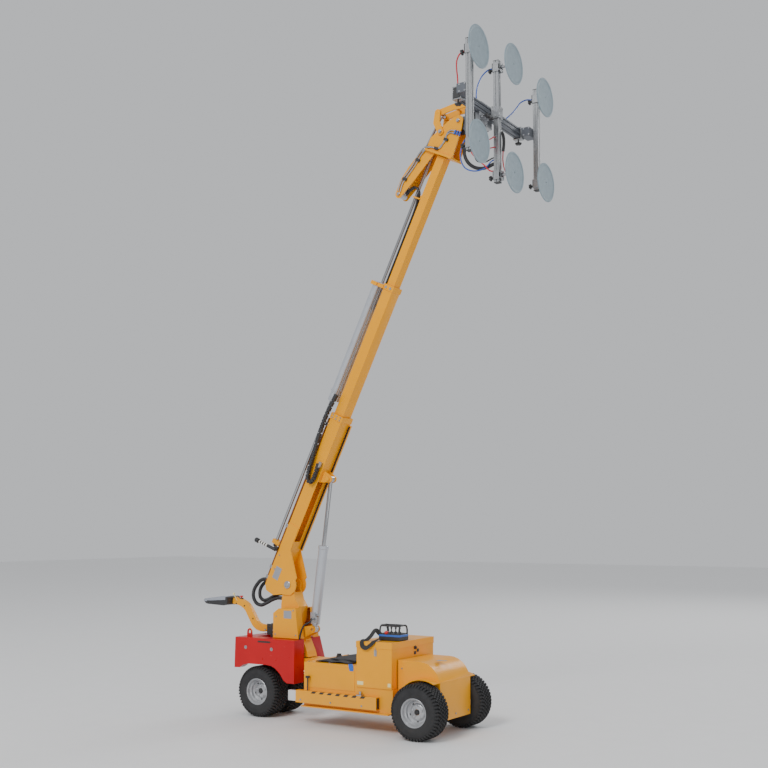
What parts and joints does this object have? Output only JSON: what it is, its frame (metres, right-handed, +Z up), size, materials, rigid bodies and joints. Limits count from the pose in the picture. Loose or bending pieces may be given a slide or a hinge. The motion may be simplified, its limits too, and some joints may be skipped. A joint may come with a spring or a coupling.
{
  "type": "panel mounting robot",
  "caption": "Wheeled vacuum lifter with a telescopic boom, a tilting head and a frame of round suction cups for fitting glass and wall panels.",
  "frame": {"origin": "on the ground under the tyres, at the bottom centre of the bounding box", "axes": "+X from the tiller towards the cups, +Y to the machine's left, +Z up"},
  "size_m": [3.332, 1.5788, 5.763],
  "materials": {
    "paint_yellow": "semi-gloss orange-yellow powder coat",
    "paint_red": "semi-gloss red powder coat",
    "paint_black": "satin black powder coat",
    "tyre": "matt black tyre rubber with block tread",
    "rim": "satin silver enamel",
    "chrome_rod": "hard chrome piston rod",
    "cylinder_grey": "light grey enamel",
    "steel": "bright steel",
    "white_steel": "white enamel",
    "aluminium_profile": "satin anodised extrusion",
    "dark_aluminium": "dark grey anodised",
    "cup_rubber": "blue-grey moulded rubber",
    "black_plastic": "fine-textured black plastic",
    "red_plastic": "glossy red plastic",
    "battery_case": "moulded black case",
    "hose_black": "smooth black hose",
    "hose_red": "red polyurethane tube",
    "hose_blue": "blue polyurethane tube"
  },
  "bodies": {
    "chassis": {"chassis_frame": "paint_yellow", "mast": "paint_yellow", "mast_cover": "paint_yellow", "battery_box": "paint_yellow", "battery_pack": "battery_case", "hydraulic_unit": "steel", "front_cowl": "paint_yellow", "counterweight": "paint_red", "boom_pin": "steel", "tail_hose": "hose_black"},
    "steering": {"steering_yoke": "paint_black"},
    "tiller": {"tiller_arm": "paint_yellow", "tiller_grip": "black_plastic"},
    "drive_switch": {"drive_rocker": "black_plastic"},
    "stop_switch": {"stop_button": "red_plastic"},
    "lid": {"battery_lid": "paint_yellow", "remote_control": "black_plastic"},
    "lift_cylinder": {"lift_barrel": "cylinder_grey"},
    "lift_piston": {"lift_rod": "chrome_rod"},
    "boom_base": {"boom_base": "paint_yellow", "extend_rod_lower": "chrome_rod", "hose_chain": "black_plastic", "signal_lamp": "black_plastic"},
    "boom_middle": {"boom_middle": "paint_yellow", "extend_barrel": "cylinder_grey"},
    "boom_tip": {"boom_tip": "paint_yellow", "extend_rod_upper": "chrome_rod", "head_knuckle": "paint_yellow"},
    "tilt_cylinder": {"tilt_barrel": "cylinder_grey"},
    "tilt_piston": {"tilt_rod": "chrome_rod"},
    "tilt_rocker": {"rocker_link": "paint_yellow"},
    "tilt_link": {"top_link": "paint_yellow"},
    "head": {"head_carrier": "dark_aluminium"},
    "rotator": {"rotator": "paint_black"},
    "cross_beam": {"cross_beam": "dark_aluminium", "vacuum_hose_middle": "hose_blue", "vacuum_hose_left": "hose_blue", "head_hose": "hose_black"},
    "bar_right": {"bar_right": "aluminium_profile", "vacuum_hose_right": "hose_red"},
    "bar_middle": {"bar_middle": "aluminium_profile"},
    "bar_left": {"bar_left": "aluminium_profile"},
    "front_right_wheel": {"tyre_front_right": "tyre", "rim_front_right": "rim"},
    "front_left_wheel": {"tyre_front_left": "tyre", "rim_front_left": "rim"},
    "rear_right_wheel": {"tyre_rear_right": "tyre", "rim_rear_right": "rim"},
    "rear_left_wheel": {"tyre_rear_left": "tyre", "rim_rear_left": "rim"},
    "outrigger_right": {"outrigger_right": "white_steel"},
    "knob_right": {"lock_knob_right": "black_plastic"},
    "outrigger_left": {"outrigger_left": "white_steel"},
    "knob_left": {"lock_knob_left": "black_plastic"},
    "cup_right_upper": {"cup_right_upper": "cup_rubber"},
    "cup_right_lower": {"cup_right_lower": "cup_rubber"},
    "cup_middle_upper": {"cup_middle_upper": "cup_rubber"},
    "cup_middle_lower": {"cup_middle_lower": "cup_rubber"},
    "cup_left_upper": {"cup_left_upper": "cup_rubber"},
    "cup_left_lower": {"cup_left_lower": "cup_rubber"}
  },
  "joints": [
    {"name": "steer", "type": "hinge", "parent": "chassis", "child": "steering", "pos_m": [-0.856, 0, 0.5], "axis": [0, 0, 1], "range_deg": [-25, 25]},
    {"name": "front_right_spin", "type": "hinge", "parent": "chassis", "child": "front_right_wheel", "pos_m": [0.948, -0.373, 0.2285], "axis": [0, 1, 0], "continuous": true},
    {"name": "front_left_spin", "type": "hinge", "parent": "chassis", "child": "front_left_wheel", "pos_m": [0.948, 0.373, 0.2285], "axis": [0, 1, 0], "continuous": true},
    {"name": "rear_right_spin", "type": "hinge", "parent": "steering", "child": "rear_right_wheel", "pos_m": [-0.856, -0.146, 0.2285], "axis": [0, 1, 0], "continuous": true},
    {"name": "rear_left_spin", "type": "hinge", "parent": "steering", "child": "rear_left_wheel", "pos_m": [-0.856, 0.146, 0.2285], "axis": [0, 1, 0], "continuous": true},
    {"name": "tiller_tilt", "type": "hinge", "parent": "steering", "child": "tiller", "pos_m": [-0.88, 0, 0.792], "axis": [0, 1, 0], "range_deg": [-8, 20]},
    {"name": "drive_rocker_rock", "type": "hinge", "parent": "tiller", "child": "drive_switch", "pos_m": [-1.312, 0, 1.036], "axis": [0, 1, 0], "range_deg": [-6, 6], "stiffness_Nm_per_rad": 0.4},
    {"name": "stop_button_press", "type": "slide", "parent": "tiller", "child": "stop_switch", "axis": [0, 0, -1], "range_m": [0, 0.005], "stiffness_N_per_m": 400},
    {"name": "outrigger_right_slide", "type": "slide", "parent": "chassis", "child": "outrigger_right", "axis": [-1, 0, 0], "range_m": [0, 0.3]},
    {"name": "lock_knob_right_pull", "type": "slide", "parent": "chassis", "child": "knob_right", "axis": [0, 0, 1], "range_m": [0, 0.02], "stiffness_N_per_m": 600},
    {"name": "outrigger_left_slide", "type": "slide", "parent": "chassis", "child": "outrigger_left", "axis": [-1, 0, 0], "range_m": [0, 0.3]},
    {"name": "lock_knob_left_pull", "type": "slide", "parent": "chassis", "child": "knob_left", "axis": [0, 0, 1], "range_m": [0, 0.02], "stiffness_N_per_m": 600},
    {"name": "battery_lid_open", "type": "hinge", "parent": "chassis", "child": "lid", "pos_m": [0.301, 0, 0.7], "axis": [0, -1, 0], "range_deg": [0, 75]},
    {"name": "boom_luff", "type": "hinge", "parent": "chassis", "child": "boom_base", "pos_m": [-0.64, 0, 1.19], "axis": [0, -1, 0], "range_deg": [-64, 12], "deforming": ["tail_hose"]},
    {"name": "lift_cylinder_swing", "type": "hinge", "parent": "chassis", "child": "lift_cylinder", "pos_m": [-0.389, 0, 0.795], "axis": [0, -1, 0], "range_deg": [-56, 12]},
    {"name": "lift_piston_slide", "type": "slide", "parent": "lift_cylinder", "child": "lift_piston", "axis": [0.1302, 0, 0.9915], "range_m": [-0.46, 0.09]},
    {"name": "extend_middle", "type": "slide", "parent": "boom_base", "child": "boom_middle", "axis": [-0.4384, 0, -0.8988], "range_m": [0, 1]},
    {"name": "extend_tip", "type": "slide", "parent": "boom_middle", "child": "boom_tip", "axis": [-0.4384, 0, -0.8988], "range_m": [0, 0.72]},
    {"name": "head_tilt", "type": "hinge", "parent": "boom_tip", "child": "head", "pos_m": [1.166, 0, 5.185], "axis": [0, -1, 0], "range_deg": [-10, 64]},
    {"name": "tilt_rocker_swing", "type": "hinge", "parent": "boom_tip", "child": "tilt_rocker", "pos_m": [0.99527, 0, 5.11765], "axis": [0, -1, 0], "range_deg": [-12, 57]},
    {"name": "tilt_link_swing", "type": "hinge", "parent": "tilt_rocker", "child": "tilt_link", "pos_m": [0.96983, 0, 5.29361], "axis": [0, -1, 0], "range_deg": [-32, 8]},
    {"name": "tilt_cylinder_swing", "type": "hinge", "parent": "boom_tip", "child": "tilt_cylinder", "pos_m": [0.55849, 0, 4.64643], "axis": [0, -1, 0], "range_deg": [-3, 8]},
    {"name": "tilt_piston_slide", "type": "slide", "parent": "tilt_cylinder", "child": "tilt_piston", "axis": [0.5364, 0, 0.844], "range_m": [-0.16, 0.03]},
    {"name": "head_rotate", "type": "hinge", "parent": "head", "child": "rotator", "pos_m": [1.296, 0, 5.2], "axis": [1, 0, 0], "range_deg": [-90, 90]},
    {"name": "side_shift", "type": "slide", "parent": "rotator", "child": "cross_beam", "axis": [0, 1, 0], "range_m": [-0.05, 0.05]},
    {"name": "bar_right_slide", "type": "slide", "parent": "cross_beam", "child": "bar_right", "axis": [0, 1, 0], "range_m": [0, 0.25]},
    {"name": "bar_left_slide", "type": "slide", "parent": "cross_beam", "child": "bar_left", "axis": [0, -1, 0], "range_m": [0, 0.25], "deforming": ["vacuum_hose_left"]},
    {"name": "bar_middle_slide", "type": "slide", "parent": "cross_beam", "child": "bar_middle", "axis": [0, 0, 1], "range_m": [-0.08, 0.08], "deforming": ["vacuum_hose_middle", "head_hose"]},
    {"name": "cup_right_upper_lean", "type": "hinge", "parent": "bar_right", "child": "cup_right_upper", "pos_m": [1.606, -0.62, 5.51], "axis": [0, 1, 0], "range_deg": [-4, 4], "stiffness_Nm_per_rad": 60},
    {"name": "cup_right_lower_lean", "type": "hinge", "parent": "bar_right", "child": "cup_right_lower", "pos_m": [1.606, -0.62, 4.742], "axis": [0, 1, 0], "range_deg": [-4, 4], "stiffness_Nm_per_rad": 60},
    {"name": "cup_middle_upper_lean", "type": "hinge", "parent": "bar_middle", "child": "cup_middle_upper", "pos_m": [1.534, 0, 5.591], "axis": [0, 1, 0], "range_deg": [-4, 4], "stiffness_Nm_per_rad": 60},
    {"name": "cup_middle_lower_lean", "type": "hinge", "parent": "bar_middle", "child": "cup_middle_lower", "pos_m": [1.534, 0, 4.661], "axis": [0, 1, 0], "range_deg": [-4, 4], "stiffness_Nm_per_rad": 60},
    {"name": "cup_left_upper_lean", "type": "hinge", "parent": "bar_left", "child": "cup_left_upper", "pos_m": [1.606, 0.62, 5.51], "axis": [0, 1, 0], "range_deg": [-4, 4], "stiffness_Nm_per_rad": 60},
    {"name": "cup_left_lower_lean", "type": "hinge", "parent": "bar_left", "child": "cup_left_lower", "pos_m": [1.606, 0.62, 4.742], "axis": [0, 1, 0], "range_deg": [-4, 4], "stiffness_Nm_per_rad": 60}
  ],
  "couplings": [
    {"joint": "lift_cylinder_swing", "follows": "boom_luff", "ratio": 0.82},
    {"joint": "lift_piston_slide", "follows": "boom_luff", "m_per_rad": 0.4},
    {"joint": "extend_tip", "follows": "extend_middle", "ratio": 0.72},
    {"joint": "tilt_rocker_swing", "follows": "head_tilt", "ratio": 0.85},
    {"joint": "tilt_link_swing", "follows": "head_tilt", "ratio": -0.47},
    {"joint": "tilt_cylinder_swing", "follows": "head_tilt", "ratio": 0.1},
    {"joint": "tilt_piston_slide", "follows": "head_tilt", "m_per_rad": -0.128}
  ]
}
